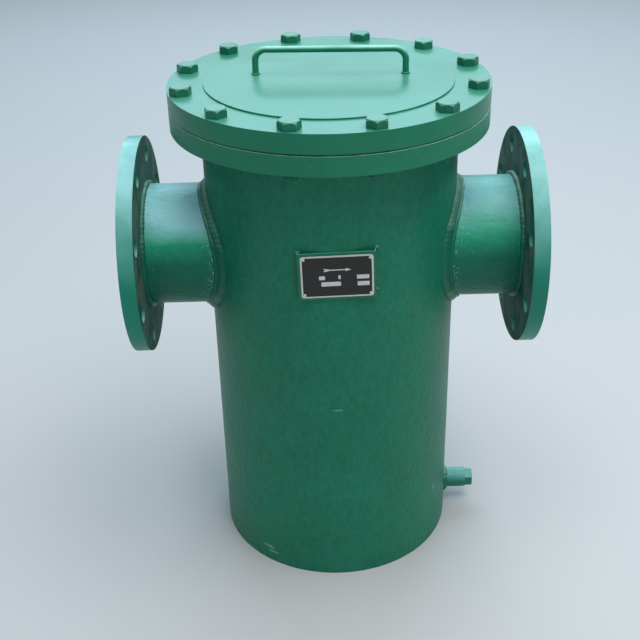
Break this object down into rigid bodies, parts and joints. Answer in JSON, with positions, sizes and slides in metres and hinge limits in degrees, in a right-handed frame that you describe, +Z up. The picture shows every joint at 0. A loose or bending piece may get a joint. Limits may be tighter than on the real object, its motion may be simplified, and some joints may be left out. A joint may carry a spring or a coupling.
{
  "type": "basket strainer",
  "caption": "Welded steel basket strainer: upright shell with in-line flanged nozzles, bolted blind cover, lift-out slant-topped basket and side drain plug.",
  "frame": {"origin": "middle of the underside, on the shell's axis, where the strainer stands", "axes": "+X along the pipe line with the flow, inlet at -X and outlet at +X; +Z up along the shell's axis; the nameplate faces -Y"},
  "size_m": [0.528, 0.4, 0.6962],
  "materials": {
    "green_enamel": "semi-gloss brushed enamel",
    "cover_enamel": "semi-gloss brushed enamel",
    "bolt_enamel": "semi-gloss enamel over steel",
    "inside_primer": "matt red oxide primer",
    "gasket_rubber": "matt black",
    "nameplate_aluminium": "etched and filled black",
    "stainless": "mill finish",
    "stainless_mesh": "woven wire"
  },
  "bodies": {
    "housing": {"shell": "green_enamel", "bottom_plate": "green_enamel", "body_flange": "green_enamel", "inlet_nozzle": "green_enamel", "inlet_flange": "green_enamel", "outlet_nozzle": "green_enamel", "outlet_flange": "green_enamel", "partition": "inside_primer", "basket_gasket": "gasket_rubber", "cover_gasket": "gasket_rubber", "drain_coupling": "green_enamel", "nameplate_bracket": "green_enamel", "nameplate": "nameplate_aluminium"},
    "cover": {"cover_plate": "cover_enamel", "cover_handle": "cover_enamel"},
    "bolts": {"cover_bolts": "bolt_enamel"},
    "basket": {"basket_rim": "stainless", "basket_wall": "stainless", "basket_screen": "stainless_mesh", "basket_floor": "stainless", "basket_bail": "stainless"},
    "plug": {"drain_plug": "bolt_enamel"}
  },
  "joints": [
    {"name": "cover_lift", "type": "slide", "parent": "housing", "child": "cover", "axis": [0, 0, 1], "range_m": [0, 0.65]},
    {"name": "bolts_draw", "type": "slide", "parent": "cover", "child": "bolts", "axis": [0, 0, 1], "range_m": [0, 0.065]},
    {"name": "basket_lift", "type": "slide", "parent": "housing", "child": "basket", "axis": [0, 0, 1], "range_m": [0, 0.585]},
    {"name": "plug_draw", "type": "slide", "parent": "housing", "child": "plug", "axis": [1, 0, 0], "range_m": [0, 0.02]}
  ],
  "couplings": [
    {"joint": "basket_lift", "follows": "cover_lift", "ratio": 0.9}
  ]
}
